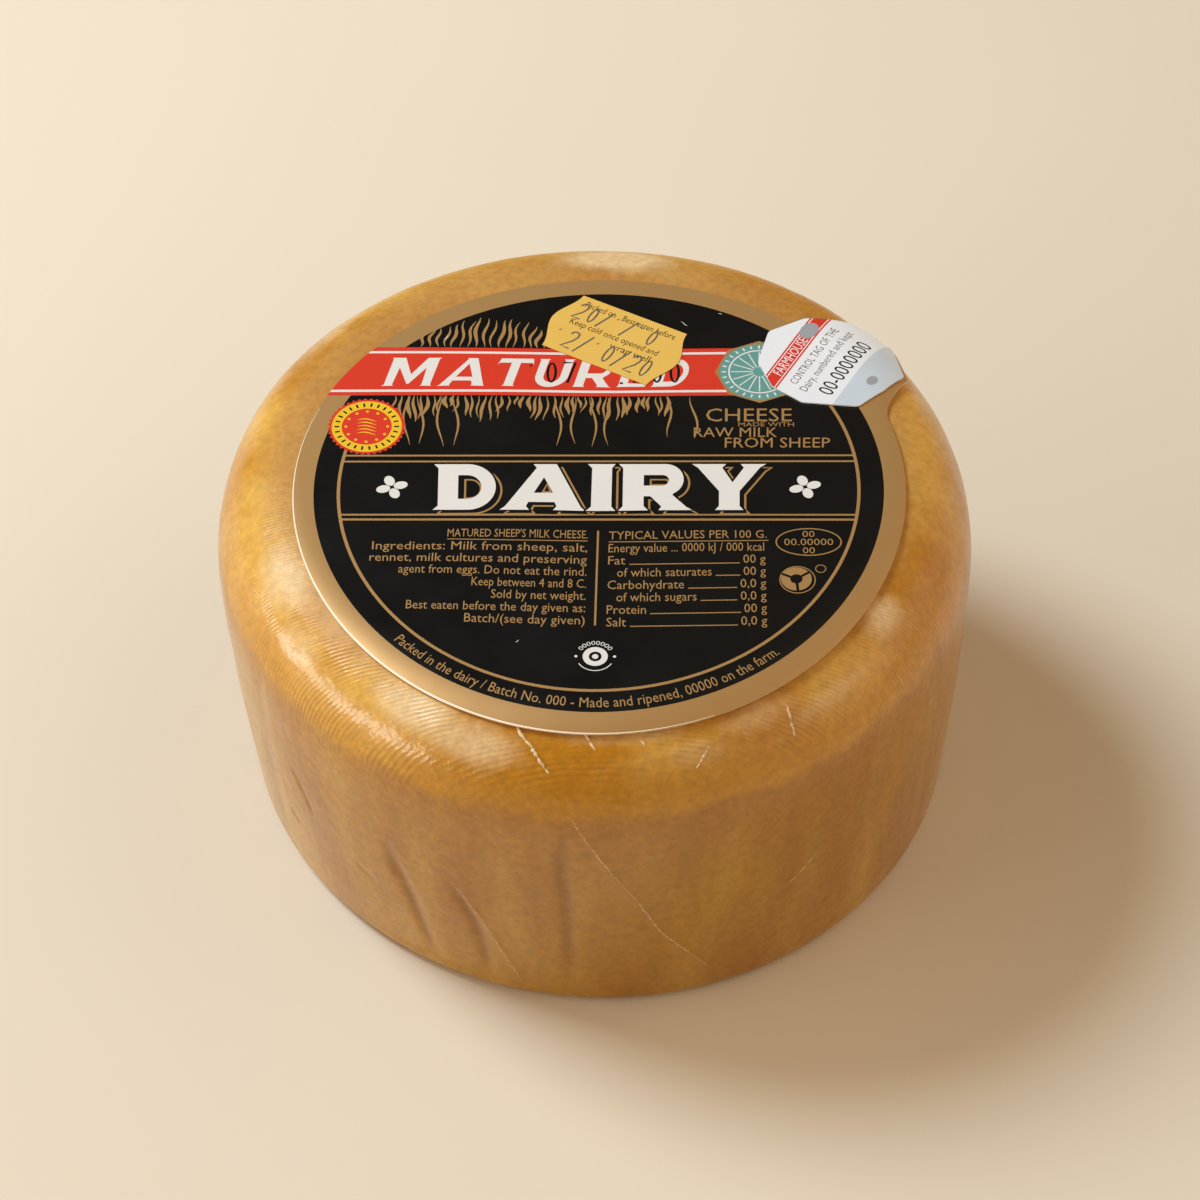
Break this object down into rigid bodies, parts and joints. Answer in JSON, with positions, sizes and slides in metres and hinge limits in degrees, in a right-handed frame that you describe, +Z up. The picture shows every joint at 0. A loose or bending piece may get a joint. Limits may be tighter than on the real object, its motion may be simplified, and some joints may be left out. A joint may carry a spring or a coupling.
{
  "type": "cheese wheel",
  "caption": "Small pressed cheese wheel with a glossy ochre rind, standing on its flat underside, with a round black paper label, a date sticker and a numbered tag on top.",
  "frame": {"origin": "under the middle of the wheel, on the surface it rests on", "axes": "+Z up through the wheel's top; -Y towards the side from which the label reads upright; +X to the reader's right"},
  "size_m": [0.1394, 0.1406, 0.0733],
  "materials": {
    "rind": "coated cheese rind, ochre to amber with cream blotches, satin gloss, pressed with a fine cloth weave",
    "label_print": "varnished paper printed black, with gold border and lines, a red banner and white letters",
    "sticker_paper": "matt yellow price-gun paper with grey stamped digits",
    "tag_card": "smooth white card with a red strip, black digits and a pale blue-grey foil area"
  },
  "bodies": {
    "root": {"cheese_wheel": "rind", "round_label": "label_print", "date_sticker": "sticker_paper", "numbered_tag": "tag_card"}
  },
  "joints": []
}
